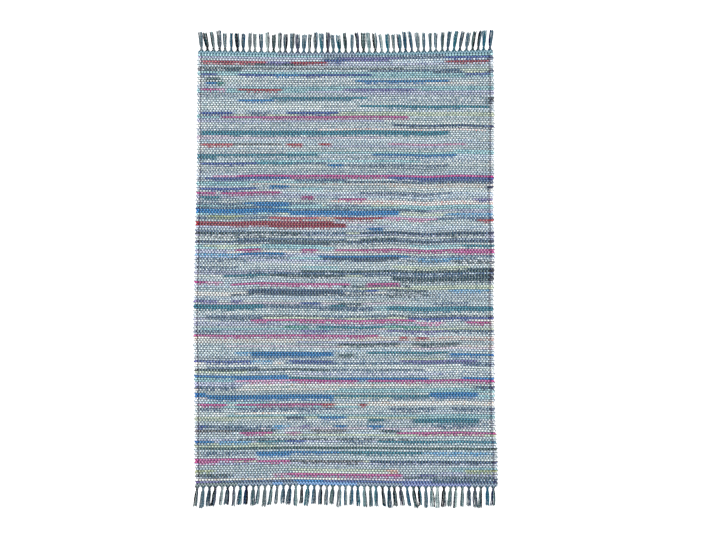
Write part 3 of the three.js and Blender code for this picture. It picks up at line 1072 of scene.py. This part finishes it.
def heading_finish():
    """Fine weft yarn drawn in by groups of warps: a painted highlight where it bulges, and painted shade
    where they cross it, with a hint of the warps' own colours, and dark along its outer edge."""
    finish = Finish("heading_weave", Roughness=0.95, Specular_IOR_Level=0.15)
    level, run = finish.place()
    across = level * MAP_WIDTH
    drawn = under_warp(finish, across, finish.maths("FLOOR", run * DRAWN_ROWS), len(WARP_REPEAT))
    under = under_warp(finish, across, finish.maths("FLOOR", run * HEADING_RIBS))
    repeat = finish.maths("FRACT", warps_left_of(across) / len(WARP_REPEAT))
    warp = finish.ramp(repeat, [YARNS[name] for name in WARP_REPEAT])
    weft, _ = finish.attribute("weft")
    # A painted highlight on the weft where it bulges
    bulging = finish.mix(BULGE_HIGHLIGHT_SHARE, weft, paint(*BULGE_HIGHLIGHT))
    colour = finish.mix(drawn, bulging, finish.mix(under * WARP_SHARE, weft, warp))
    fluff = finish.noise(across / FLUFF["length"], run * FLUFF["waves"], 0.0, FLUFF["detail"])
    outer = finish.maths("MULTIPLY_ADD", run - OUTER_FROM, 1 / (1 - OUTER_FROM), 0.0, clamp=True)
    light = HEADING_LIGHT
    brightness = (light["base"] + fluff * light["fluff"]) * (1 - outer * light["outer"])
    # Painted light where the weft lies loose, and painted shade where the warps draw it in
    brightness = brightness * (light["loose"] - drawn * light["drawn"])
    height = under * HEADING_RELIEF["under"] + fluff * HEADING_RELIEF["fluff"]
    return finish.surface(colour, brightness, height)


# A tassel yarn's turns along its length, with their painted light and shade and their relief, and its wear
YARN_PLY = {"turns": 22, "dark": 0.14, "relief": 0.25}
YARN_WEAR = {"step": 3, "waves": 30, "detail": 2.0, "base": 0.6, "light": 0.48}


def yarn_finish():
    """Twisted cotton yarn, its slanted grooves round each strand as relief and painted light and shade, and
    a little wear along it.
    """
    finish = Finish("twisted_yarn", Roughness=0.92, Specular_IOR_Level=0.2)
    level, run = finish.place()
    strand = level * len(YARNS)
    ply = finish.maths("SINE", (run * YARN_PLY["turns"] + strand) * math.tau)
    colour, _ = finish.attribute("yarn")
    wear = finish.noise(strand * YARN_WEAR["step"], run * YARN_WEAR["waves"], 0.0, YARN_WEAR["detail"])
    # Painted light and shade along the twist, over the yarn's worn tone
    brightness = (YARN_WEAR["base"] + wear * YARN_WEAR["light"]) * (1 + ply * YARN_PLY["dark"])
    return finish.surface(colour, brightness, ply * YARN_PLY["relief"])


# Making the rug

points, quads, corner_map, colours = rag_cloth()
cloth = made_piece("rag_cloth", points, [quads], rag_finish(), corner_map, colours)
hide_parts("woven_body")

for colour in WARP_HALF_WIDTHS:
    points, faces, corner_map = warp_floats(colour)
    finish = warp_finish(f"{colour}_warp_yarn", paint(*YARNS[colour]))
    warp = made_piece(f"warp_{colour}", points, faces, finish, corner_map)

heading_look, yarn_look = heading_finish(), yarn_finish()
for end, side in (("far", 1), ("near", -1)):
    points, quads, corner_map, colours = heading(end, side)
    strip = made_piece(f"heading_{end}", points, [quads], heading_look, corner_map, colours)
    points, quads, corner_map, colours = tassels(end, side)
    fringe = made_piece(f"tassels_{end}", points, [quads], yarn_look, corner_map, colours)
    for piece in (strip, fringe):
        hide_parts(f"fringe_{end}")


# The floor's half width and how far under the rug it is, in metres, and the light's angles in degrees
FLOOR = {"half": 6, "below": 0.2 * MM, "colour": (0.9, 0.9, 0.9, 1)}
SUN = {"energy": 2.6, "softness": 25, "turn": (-30, -26, 0)}
SKY = {"Color": (0.97, 0.985, 1, 1), "Strength": 1.25}


def studio():
    """A plain pale floor, an even sky and one broad soft light from the upper left."""
    finish = Finish("pale_floor", Roughness=0.9, Specular_IOR_Level=0.1, Base_Color=FLOOR["colour"])
    corners = [(x * FLOOR["half"], y * FLOOR["half"], 0) for x, y in ((-1, -1), (1, -1), (1, 1), (-1, 1))]
    mesh = bpy.data.meshes.new("floor")
    mesh.from_pydata(corners, [], [(0, 1, 2, 3)])
    mesh.materials.append(finish.material)
    floor = bpy.data.objects.new("floor", mesh)
    floor.location.z = -FLOOR["below"]
    bpy.context.collection.objects.link(floor)
    light = bpy.data.lights.new("softbox", "SUN")
    light.energy = SUN["energy"]
    light.angle = math.radians(SUN["softness"])
    lamp = bpy.data.objects.new("softbox", light)
    lamp.rotation_euler = [math.radians(turn) for turn in SUN["turn"]]
    bpy.context.collection.objects.link(lamp)
    world = bpy.data.worlds.new("sky")
    world.use_nodes = True
    for socket, value in SKY.items():
        world.node_tree.nodes["Background"].inputs[socket].default_value = value
    bpy.context.scene.world = world
    bpy.context.scene.view_settings.view_transform = "Standard"


studio()
